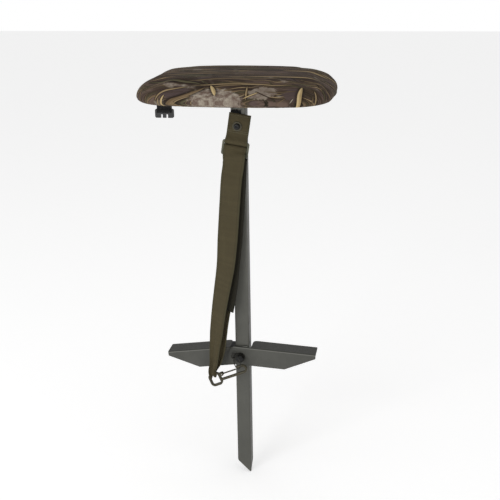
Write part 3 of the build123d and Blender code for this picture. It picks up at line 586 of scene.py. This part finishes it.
def marsh_print(name):
    """A generic marsh print on the cover's flat cloth coordinates: the ground, beds of fine reeds, bark
    patches and single reeds, in that order, with a plain weave and soft rumples in relief."""
    material, tree, shader = finish_tree(name, Roughness=0.88, Specular_IOR_Level=0.08, Sheen_Weight=0.02,
                                         Sheen_Roughness=0.5)
    cloth = put(tree, "Attribute", {}, attribute_name="cloth").outputs["Vector"]
    broad = noise(tree, stretched(tree, cloth, (120 * MM, 40 * MM, 1)), 1.0, 3)
    tone = print_beds(tree, cloth, print_ground(tree, cloth, broad))
    tone = print_reeds(tree, cloth, print_bark(tree, cloth, broad, tone))
    tree.links.new(tone, shader.inputs["Base Color"])
    parts = put(tree, "SeparateXYZ", {0: cloth}).outputs
    two_yarns = 0.7 * MM
    warp, weft = (sums(tree, "SINE", sums(tree, "MULTIPLY", parts[axis], 2 * math.pi / two_yarns))
                  for axis in ("X", "Y"))
    weave = sums(tree, "MULTIPLY", warp, weft)
    rumple = noise(tree, stretched(tree, cloth, (60 * MM, 22 * MM, 1)), 1.0, 3)
    fine = put(tree, "Bump", {"Height": weave, "Distance": 0.05 * MM, "Strength": 0.5})
    rumpled = put(tree, "Bump", {"Height": rumple, "Distance": 2.0 * MM, "Strength": 0.35,
                                 "Normal": fine.outputs[0]})
    tree.links.new(rumpled.outputs[0], shader.inputs["Normal"])
    return material


# ---- seat cushion -----------------------------------------------------------------------------
plan_power = 3.28                       # the seat's plan is a superellipse of this power
crest_rise = 3 * MM                     # how far the cover's crest stands above the CAD cushion's top
widest_share = 1.006                    # the cover's widest place, as a share of the CAD cushion's half size
edge_band = 0.28                        # the share of the plan, from its edge, over which the cover turns down


def plan_edge(theta, half):
    """A point of the seat's plan: a superellipse, x its half size times the cosine and y its half size times
    the sine of theta, each raised to 2 over the power."""
    c, s = np.cos(theta), np.sin(theta)
    return np.stack([half[0] * np.sign(c) * np.abs(c) ** (2 / plan_power),
                     half[1] * np.sign(s) * np.abs(s) ** (2 / plan_power)], -1)


def lay_cloth(mesh):
    """Stores the cover's flat cloth coordinates: a point's plan position, moved outwards along the plan's
    normal by how far the cover has dropped from the seat's top, so that a print runs over the edge
    unbroken."""
    points = np.zeros(len(mesh.vertices) * 3, np.float32)
    mesh.vertices.foreach_get("co", points)
    points = points.reshape(-1, 3).astype(float)
    scaled = points[:, :2] / half_seat
    size = (np.abs(scaled) ** plan_power).sum(1) ** (1 / plan_power)
    outward = unit(np.sign(scaled) * np.abs(scaled) ** (plan_power - 1) / half_seat + 1e-9)
    near_edge = np.clip((size - (1 - edge_band)) / edge_band, 0, 1) ** 2
    drop = (seat_top - points[:, 2]) * near_edge
    flat = points[:, :2] + outward * drop[:, None]
    cloth = np.column_stack([flat, np.zeros(len(flat))]).astype(np.float32)
    stored = mesh.attributes.new("cloth", "FLOAT_VECTOR", "POINT")
    stored.data.foreach_set("vector", cloth.ravel())


def merged_copy(node, name):
    """A closed copy of a CAD node, its loose triangles merged."""
    mesh = nodes[node].data.copy()
    mesh.name = name
    mesh.materials.clear()
    shape = bmesh.new()
    shape.from_mesh(mesh)
    bmesh.ops.remove_doubles(shape, verts=shape.verts, dist=0.01 * MM)
    shape.to_mesh(mesh)
    shape.free()
    piece = bpy.data.objects.new(name, mesh)
    bpy.context.scene.collection.objects.link(piece)
    return piece


def apply_all(piece):
    """Turns what the modifiers make into the piece's own mesh."""
    graph = bpy.context.evaluated_depsgraph_get()
    mesh = bpy.data.meshes.new_from_object(piece.evaluated_get(graph))
    piece.modifiers.clear()
    old, piece.data = piece.data, mesh
    bpy.data.meshes.remove(old)


def points_of(piece):
    """A piece's vertices, as an array of points."""
    flat = np.zeros(len(piece.data.vertices) * 3, np.float32)
    piece.data.vertices.foreach_get("co", flat)
    return flat.reshape(-1, 3).astype(float)


def blow_up(piece, held, pressure, limit, frames=20):
    """Swells a closed mesh as a stuffed cover does: Cloth with pressure and no gravity, its held points
    pinned, no point moving further than the limit."""
    start = points_of(piece)
    pin = piece.vertex_groups.new(name="held")
    pin.add(np.flatnonzero(held).tolist(), 1.0, "REPLACE")
    cloth = modify(piece, "CLOTH")
    cloth.settings.vertex_group_mass = "held"
    cloth.settings.quality = 5
    cloth.settings.mass = 0.3
    cloth.settings.tension_stiffness = 12
    cloth.settings.compression_stiffness = 12
    cloth.settings.bending_stiffness = 1.2
    cloth.settings.use_pressure = True
    cloth.settings.uniform_pressure_force = pressure
    cloth.settings.effector_weights.gravity = 0
    cloth.point_cache.frame_start, cloth.point_cache.frame_end = 1, frames
    for number in range(1, frames + 1):
        bpy.context.scene.frame_set(number)
    apply_all(piece)
    bpy.context.scene.frame_set(1)
    moved = points_of(piece) - start
    far = np.linalg.norm(moved, axis=1, keepdims=True)
    moved *= np.minimum(1, limit / np.maximum(far, 1e-9))
    piece.data.vertices.foreach_set("co", (start + moved).astype(np.float32).ravel())
    piece.vertex_groups.clear()


def draw_in(piece):
    """Makes the CAD cushion a little narrower towards its top, and a little lower, most of all at its ends, so
    that the swollen cover fills the space that the cushion holds."""
    points = points_of(piece)
    share = np.clip((points[:, 2] - seat_base) / (seat_top - seat_base), 0, 1)
    points[:, :2] *= 1 - 0.022 * share[:, None]
    out_x, out_y = np.abs(points[:, 0]) / half_seat[0], np.abs(points[:, 1]) / half_seat[1]
    lowered = 1.0 + 3.0 * out_x ** 4 + 2.0 * out_y ** 4
    points[:, 2] -= lowered * MM * share
    piece.data.vertices.foreach_set("co", points.astype(np.float32).ravel())


def crown(piece):
    """Domes the cover. Heights above the board are scaled by a power of the distance from the middle, then all
    alike so that none is above the crest, and the plan is drawn in where it is wider than the widest share."""
    points = points_of(piece)
    level, crest = board_high.z, seat_top + crest_rise
    from_middle = (np.abs(points[:, :2] / half_seat) ** 2.6).sum(1) ** (1 / 2.6)
    dome = 0.93 + 0.14 * (1 - np.clip(from_middle, 0, 1) ** 2.2)
    above = (points[:, 2] - level) * dome
    above *= np.clip((crest - level) / above.max(), None, 1)
    points[:, 2] = np.where(points[:, 2] > level, level + above, points[:, 2])
    points[:, 2] = np.clip(points[:, 2], seat_base, crest)
    points[:, :2] *= np.clip(half_seat * widest_share / np.abs(points[:, :2]).max(0), None, 1)
    piece.data.vertices.foreach_set("co", points.astype(np.float32).ravel())


def make_cushion():
    """The seat: the CAD cushion drawn in a little, remeshed evenly, blown up as cloth with the part round the
    board held, smoothed and crowned."""
    piece = merged_copy("seat_cushion", "seat_cover")
    draw_in(piece)
    modify(piece, "REMESH", mode="VOXEL", voxel_size=4.6 * MM, use_smooth_shade=True)
    apply_all(piece)
    held = points_of(piece)[:, 2] < board_high.z + 3 * MM
    blow_up(piece, held, pressure=4.0, limit=6 * MM)
    modify(piece, "SMOOTH", factor=0.5, iterations=18)
    apply_all(piece)
    crown(piece)
    modify(piece, "SUBSURF", levels=1, render_levels=1)
    apply_all(piece)
    piece.data.polygons.foreach_set("use_smooth", np.ones(len(piece.data.polygons), bool))
    lay_cloth(piece.data)
    return piece


hem_outer, hem_inner = 6 * MM, 30 * MM  # the hem's two edges: outside the board's edge, and inside it
inner_reach = 0.1                       # about how far the hem's inner edge is from the seat's middle


def make_hem():
    """The cover's hem, turned under the board. Round the plan by theta and inwards by r, the cloth lies just
    under the board. Its depth ripples as sines of theta, most at the four corners, where it is gathered into
    pleats, its outer edge rises to meet the cover, and its raw inner edge wanders as a sum of four sines."""
    theta = np.linspace(0, 2 * math.pi, 720, endpoint=False)
    r = np.linspace(0, 1, 16)
    draw = np.random.default_rng(5)
    wander = MM * sum(draw.uniform(0.5, 1.3) * np.sin(waves * theta + draw.uniform(0, 6.3))
                      for waves in (5, 9, 14, 23))
    corner = np.abs(np.sin(2 * theta)) ** 3
    outer = plan_edge(theta, half_board + hem_outer)
    inner = plan_edge(theta, half_board - hem_inner) * (1 + wander / inner_reach)[:, None]
    plan = outer[:, None] + (inner - outer)[:, None] * r[None, :, None]
    pleat = (np.sin(44 * theta)[:, None] * corner[:, None] * 1.1 + 0.25 * np.sin(17 * theta)[:, None]) * MM
    depth = seat_base - 0.9 * MM - np.abs(pleat) * np.sin(math.pi * r[None] ** 0.8)
    depth = depth + 1.6 * MM * np.clip(1 - r[None] * 8, 0, 1)
    points = np.concatenate([plan, depth[..., None]], -1)
    piece = surface("cover_hem_cloth", points, wrap_u=True)
    modify(piece, "SOLIDIFY", thickness=0.8 * MM, offset=0)
    lay_cloth(piece.data)
    return piece


def make_staples():
    """Hem staples: the wire crowns that show, each a short thin rod along its side of the board."""
    inset = half_board - 11 * MM
    count_x, count_y = 7, 4                 # staples along each long side and each short side
    x = np.linspace(-0.62, 0.62, count_x) * inset[0]
    y = np.linspace(-0.55, 0.55, count_y) * inset[1]
    rows = [(x, np.full(count_x, s * inset[1]), (1, 0)) for s in (-1, 1)]
    rows += [(np.full(count_y, s * inset[0]), y, (0, 1)) for s in (-1, 1)]
    place = np.concatenate([np.column_stack([a, b]) for a, b, _ in rows])
    line = np.concatenate([np.tile(way, (len(a), 1)) for a, _, way in rows]).astype(float)
    level = np.full(len(place), seat_base - 1.5 * MM)
    half = 5 * MM
    starts = np.column_stack([place - line * half, level])
    ends = np.column_stack([place + line * half, level])
    return tubes("hem_staple_wire", starts, ends, 0.6 * MM, bulge=0)


# ---- carrying strap ---------------------------------------------------------------------------
strap_tilt = math.radians(9)
across_top = np.array([math.cos(strap_tilt), 0, -math.sin(strap_tilt)])
up_strap = np.array([math.sin(strap_tilt), 0, math.cos(strap_tilt)])
slider_front, slider_back = slider_low.y, slider_high.y
strap_back = tube_face - web_thick              # the flat end lies on the backing tab
foot = 219.5 * MM                               # height of the strap's lower end

# Where the strap's screw is, across the strap from its middle line.
screw_side = ((washer_mid.x - slider_mid.x) * math.cos(strap_tilt)
              - (washer_mid.z - slider_mid.z) * math.sin(strap_tilt))
tab_lean = 6.5 * MM                             # how far the backing tab's top leans to the left


def strap_point(up, y):
    """A point on the strap's middle line, up along it from the slider's middle, at depth y."""
    return np.array([slider_mid.x, y, slider_mid.z]) + up_strap * up


def station(x, forward, height, turn):
    """A station of a hanging run: the webbing's middle and the direction of its width. They are given by x,
    the distance in front of the tube and the height above the strap's lower end, in mm, and by a turn in
    degrees."""
    a = math.radians(turn)
    return [x * MM, tube_face - forward * MM, foot + height * MM, math.cos(a), -math.sin(a), 0.0]


def bunched(z):
    """The strap's width at a height: full above, narrower in steps towards the hook's eye."""
    heights = [0, 16.5, 42.5, 76.5, 158.5, 250.5, 388, 396]
    widths = [13, 15, 21, 29, 34, 38, 38, 39.5]
    return np.interp((z - foot) / MM, heights, widths) * MM


# The hanging runs from the top down, each row as the station function takes it.
front_run = [(-5.6, 10.3, 402.5, 2), (-6.6, 11.3, 386.5, 4), (-10.4, 12.8, 360.5, 6), (-14, 14.8, 318.5, 9),
             (-19, 18.3, 250.5, 12), (-23, 21.3, 202.5, 18), (-30, 24.3, 158.5, 25), (-36, 26.3, 120.5, 28),
             (-41.5, 28.3, 76.5, 30), (-45.5, 29.3, 42.5, 30), (-48, 28.3, 16.5, 22), (-49.5, 27.3, 1.0, 10)]
back_run = [(-8.2, 4.7, 386.5, 4), (-10, 5.1, 360.5, 5), (-13, 5.9, 318.5, 8), (-18.4, 7.8, 246.5, 12),
            (-21.2, 9.8, 202.5, 18), (-24.6, 12.3, 154.5, 25), (-29.2, 15.3, 118.5, 28),
            (-33.6, 18.3, 80.5, 30), (-35, 20.3, 42.5, 30), (-41, 20.3, 16.5, 22), (-48, 19.3, 1.0, 10)]
free_tail = [(-5.7, 7.0, 394, 3), (-6, 7.4, 386.5, 4), (-7.2, 7.9, 360.5, 5), (-9.9, 8.9, 318.5, 8),
             (-15.1, 11.1, 246.5, 12), (-18.2, 13.3, 202.5, 18), (-21.8, 16.5, 154.5, 25),
             (-26.8, 19.7, 118.5, 28)]
tail_shift = 3.0                        # moves the free tail to the right of those places, in mm


def strap_piece(name, stations, hanging=True):
    """A length of the carrying strap through stations. A hanging length narrows and folds towards the hook's
    eye. The flat end keeps its width, but for a little more where it is pressed into the slider."""
    line = through(stations, 3 * MM)
    if hanging:
        width = bunched(line[:, 2])
        folds = np.clip(3.4 * MM * (web_width - width) / web_width, 0, None)
    else:
        slider_end, clear_above = 640 * MM, 648 * MM
        width = np.interp(line[:, 2], [slider_end, clear_above], [39.5, 38]) * MM
        folds = 0.0
    return webbing(name, line[:, :3], line[:, 3:6], width, web_thick, folds)


def make_strap_top():
    """The strap's flat top end: flat on the backing tab down past the screw, then out over the slider's
    upper bar, through its upper slot and down behind the middle bar."""
    flat = strap_back - web_thick / 2
    over = slider_front - web_thick * 0.55
    behind = slider_back + web_thick * 0.3
    path = [(60, flat), (48, flat), (34, flat), (24, flat - 0.3 * MM), (17.5, (flat + over) / 2),
            (12.5, over), (9.6, over + 0.5 * MM), (7.6, (over + behind) / 2), (5.0, behind), (-1.0, behind),
            (-8.0, behind)]
    stations = [[*strap_point(up * MM, y), *across_top] for up, y in path]
    return strap_piece("strap_top_webbing", stations, hanging=False)


def make_strap_runs():
    """The hanging webbing in one length: out of the slider's upper slot, over its middle and lower bars, down
    the front run, round the upper bar of the hook's eye by a little over half a turn, and up the back run."""
    over = slider_front - web_thick * 0.6
    head = [(3.4, slider_back - 0.6 * MM), (5.6, slider_mid.y), (5.2, over + 0.4 * MM),
            (1.5, over - 0.5 * MM), (-4.0, over - 1.3 * MM)]
    start = [[*strap_point(up * MM, y), *across_top] for up, y in head]
    down = [station(*row) for row in front_run]
    up_again = [station(*row) for row in back_run][::-1]
    reach_out, reach_down = 4.9 * MM, 4.5 * MM
    loop = []
    for angle in (-20, 20, 55, 90, 125, 160, 200):
        a = math.radians(angle)
        out = np.array([0, -1.0, 0]) * math.cos(a) * reach_out
        place = eye_bar_middle + out - hook_up * math.sin(a) * reach_down
        loop.append([*place, *hook_along])
    return strap_piece("strap_hanging_webbing", start + down[:-1] + loop + up_again[1:])


def make_strap_tail():
    """The webbing's free tail: from behind the slider down beside the back run, to its cut end."""
    stations = [station(x + tail_shift, *rest) for x, *rest in free_tail]
    return strap_piece("strap_tail_webbing", stations)


def make_backing_tab():
    """The black tab behind the strap: a narrow webbing that stands up past the strap's top end, and leans to
    the left as the square of the way up."""
    flat = tube_face - web_thick / 2
    ups = np.linspace(30, 61.5, 19) * MM
    lean = -tab_lean * ((ups - ups[0]) / (ups[-1] - ups[0])) ** 2
    middle = np.array([strap_point(up, flat) for up in ups]) + across_top * (screw_side + lean[:, None])
    across = np.tile(across_top, (len(ups), 1))
    return webbing("backing_tab_webbing", middle, across, 18 * MM, web_thick * 0.96, 0.12 * MM, 2.5)


def make_frayed_end():
    """Loose yarns at the tab's cut end: short threads that fan out over its width."""
    draw = np.random.default_rng(3)
    count = 130
    across = draw.uniform(-1, 1, count)
    base = strap_point(60.8 * MM, tube_face - web_thick / 2) + across_top * (screw_side - tab_lean)
    half_width = 8.4 * MM
    starts = base + across_top[None] * (across * half_width)[:, None]
    starts[:, 1] += draw.uniform(-0.6, 0.5, count) * MM
    lean = draw.normal(0, 0.55, count)
    long = draw.uniform(0.6, 3.4, count) * (1.2 + np.sin(across * 11)) * MM
    ends = starts + (up_strap[None] + across_top[None] * lean[:, None]) * long[:, None]
    ends[:, 1] += draw.uniform(-2.2, 0.0, count) * MM
    return tubes("backing_tab_fray", starts, ends, 0.42 * MM, bulge=0)


def make_stitches():
    """Two rows of lock stitches across the strap, above the slider, and one just under its top end."""
    count, pitch, half_stitch = 15, 2.3 * MM, 0.95 * MM
    flat = strap_back - web_thick
    spots = (np.arange(count) - (count - 1) / 2) * pitch
    starts, ends = [], []
    for up in (27.5, 30.5, 56.5):
        row = strap_point(up * MM, flat) + across_top[None] * spots[:, None]
        starts.append(row - across_top * half_stitch)
        ends.append(row + across_top * half_stitch)
    return tubes("strap_stitches", np.concatenate(starts), np.concatenate(ends), 0.32 * MM, bulge=0.8)


# The hook's own directions, for the webbing's turn round its eye.
hook_tilt = math.radians(23)
hook_along = np.array([math.cos(hook_tilt), 0, math.sin(hook_tilt)])
hook_up = np.array([-math.sin(hook_tilt), 0, math.cos(hook_tilt)])
eye_high, eye_wire = 26 * MM, 4.6 * MM
eye_middle = np.array([-46.0, -36.0, 202.5]) * MM
eye_bar_middle = eye_middle + hook_up * (eye_high - eye_wire) / 2


def make_belt_end():
    """The black webbing end under the seat: flat under the hem, over its front edge, down to the buckle's bar,
    round it and up again."""
    low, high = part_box("belt_end")
    x = (low.x + high.x) / 2
    thick, turn_radius = 1.5 * MM, 2.3 * MM
    bar_drop = 14.6 * MM                    # from the seat's underside down to the buckle's bar
    front = low.y + thick
    bar_y, bar_z = low.y + 2.45 * MM, seat_base - bar_drop
    path = [(x, high.y, high.z - thick / 2), (x, high.y - 10 * MM, high.z - thick / 2),
            (x, front + 4 * MM, high.z - thick * 0.55), (x, front + 0.8 * MM, high.z - thick * 1.1),
            (x, front - 0.3 * MM, high.z - 4 * MM), (x, front - 0.5 * MM, bar_z + 3 * MM)]
    for angle in (-10, 40, 90, 140, 190):
        a = math.radians(angle)
        path.append((x, bar_y - math.cos(a) * turn_radius, bar_z - math.sin(a) * turn_radius))
    path.append((x, front + 2.6 * MM, high.z - 5 * MM))
    stations = [[*p, 1.0, 0.0, 0.0] for p in path]
    line = through(stations, 0.8 * MM)
    return webbing("belt_end_webbing", line[:, :3], line[:, 3:6], high.x - low.x, thick)


# ---- dress everything -------------------------------------------------------------------------
coats = {
    "stake_paint": powder_coat("stake_paint", colour(95, 95, 88), colour(108, 108, 102), corner=half_tube,
                               painted_stake_shade=True),
    "wing_paint": powder_coat("wing_paint", colour(66, 66, 61), colour(112, 112, 105), fold=True),
    "plate_paint": powder_coat("plate_paint", colour(60, 60, 56), colour(104, 104, 99)),
    "dark_oxide": plated("dark_oxide", colour(52, 51, 47), 0.38, 0.75),
    "hook_bronze": plated("hook_bronze", colour(66, 62, 48), 0.4, 0.55),
    "zinc_plate": plated("zinc_plate", colour(176, 176, 172), 0.3),
    "black_oxide": plated("black_oxide", colour(30, 30, 30), 0.34, 0.6),
    "pad_nylon": moulded("pad_nylon", colour(196, 193, 184), 0.45),
    "stop_rubber": moulded("stop_rubber", colour(24, 24, 24), 0.7),
    "slider_plastic": moulded("slider_plastic", colour(74, 74, 58), 0.42),
    "buckle_plastic": moulded("buckle_plastic", colour(20, 20, 21), 0.4),
    "board_ply": plywood("board_ply"),
    "olive_web": woven("olive_web", colour(69, 62, 43), colour(84, 76, 53), colour(62, 62, 44), fuzz=0.08),
    # a darker copy of the olive webbing: painted shade for the free tail, which hangs in shadow behind the
    # strap
    "shaded_tail_web": woven("shaded_tail_web", colour(36, 34, 25), colour(48, 45, 33), colour(26, 26, 20), fuzz=0.04),
    "black_web": woven("black_web", colour(18, 18, 18), colour(40, 40, 40), colour(14, 14, 14), fuzz=0.04),
    "thread_olive": moulded("thread_olive", colour(92, 88, 66), 0.8, 0.2),
    "thread_black": moulded("thread_black", colour(16, 16, 16), 0.85),
}
cover_print = marsh_print("cover_print")

dressed = {
    "stake_paint": ["stake_tube"], "wing_paint": ["right_wing", "left_wing"],
    "plate_paint": ["seat_plate", "seat_stub"],
    "dark_oxide": ["pivot_washer", "pivot_bush", "ring_lug", "hub_ring"],
    "hook_bronze": ["snap_hook", "hook_gate", "strap_washer"],
    "black_oxide": ["hub_bolt", "stop_screw", "strap_screw"],
    "zinc_plate": ["plate_bolts", "board_nuts", "back_washer", "pivot_sleeve", "hub_nut", "weld_nut",
                   "gate_pin", "belt_screw"],
    "pad_nylon": ["pivot_pad_inner", "pivot_pad_outer"], "stop_rubber": ["wing_stop"],
    "slider_plastic": ["strap_slider"], "buckle_plastic": ["belt_buckle"], "board_ply": ["seat_board"],
}
for finish, members in dressed.items():
    for member in members:
        nodes[member].data.materials.clear()
        nodes[member].data.materials.append(coats[finish])

cushion = give(make_cushion(), cover_print, replaces=["seat_cushion"])
give(make_hem(), cover_print, replaces=["cover_hem"])
give(make_staples(), coats["zinc_plate"], replaces=["hem_staples"])
give(make_strap_top(), coats["olive_web"], replaces=["strap_top"])
give(make_strap_runs(), coats["olive_web"],
     replaces=["strap_front_run", "strap_bight", "strap_back_run"])
give(make_strap_tail(), coats["shaded_tail_web"], replaces=["strap_tail"])
give(make_backing_tab(), coats["black_web"], replaces=["backing_tab"])
give(make_frayed_end(), coats["thread_black"])
give(make_stitches(), coats["thread_olive"])
give(make_belt_end(), coats["black_web"], replaces=["belt_end"])


# ---- stage, light and camera ------------------------------------------------------------------
def make_stage():
    """A pale floor under the stake's point, surroundings that look white but light the stool less, and two
    wide soft lights."""
    span = np.array([[[-6.0, -6, 0], [-6, 9, 0]], [[6, -6, 0], [6, 9, 0]]]) - [0, 0, 0.2 * MM]
    floor = surface("floor", span)
    paper = finish_tree("floor_paper", Roughness=0.9, Specular_IOR_Level=0.1, Base_Color=(0.9, 0.9, 0.9, 1),
                        Emission_Color=(1, 1, 1, 1), Emission_Strength=0.34)[0]
    floor.data.materials.append(paper)
    world = bpy.data.worlds.new("studio")
    bpy.context.scene.world = world
    world.use_nodes = True
    sky = world.node_tree.nodes["Background"]
    sky.inputs["Color"].default_value = (1, 1, 1, 1)
    seen = world.node_tree.nodes.new("ShaderNodeLightPath").outputs["Is Camera Ray"]
    as_light, as_seen = 0.6, 1.0
    strength = ramp(world.node_tree, seen, 0.0, 1.0, as_light, as_seen)
    world.node_tree.links.new(strength, sky.inputs["Strength"])
    for name, place, aim, size, power in (
            ("key_light", (-1.3, -2.6, 1.3), (0, 0, 0.5), 1.6, 34),
            ("top_light", (0.4, -0.2, 2.6), (0, 0, 0.6), 1.8, 3)):
        lamp = bpy.data.lights.new(name, "AREA")
        lamp.size = size
        lamp.energy = power
        holder = bpy.data.objects.new(name, lamp)
        bpy.context.scene.collection.objects.link(holder)
        holder.location = place
        holder.rotation_euler = (Vector(aim) - Vector(place)).to_track_quat("-Z", "Y").to_euler()


def make_camera():
    """The camera stands a little right of the front and looks down slightly, rolled by under a degree."""
    azimuth, elevation, roll = math.radians(10.28), math.radians(18.3), math.radians(-0.91)
    aim, distance = Vector((0.01498, 0, 0.44252)), 1.66428
    back = Vector((math.sin(azimuth) * math.cos(elevation), -math.cos(azimuth) * math.cos(elevation),
                   math.sin(elevation)))
    lens = bpy.data.cameras.new("view")
    lens.lens, lens.sensor_width = 67.4, 36.0
    holder = bpy.data.objects.new("view", lens)
    bpy.context.scene.collection.objects.link(holder)
    holder.location = aim + back * distance
    turn = (-back).to_track_quat("-Z", "Y").to_matrix()
    right, up = turn.col[0].copy(), turn.col[1].copy()
    turn.col[0] = right * math.cos(roll) + up * math.sin(roll)
    turn.col[1] = up * math.cos(roll) - right * math.sin(roll)
    holder.rotation_euler = turn.to_euler()
    bpy.context.scene.camera = holder


make_stage()
make_camera()
bpy.context.scene.view_settings.view_transform = "Standard"
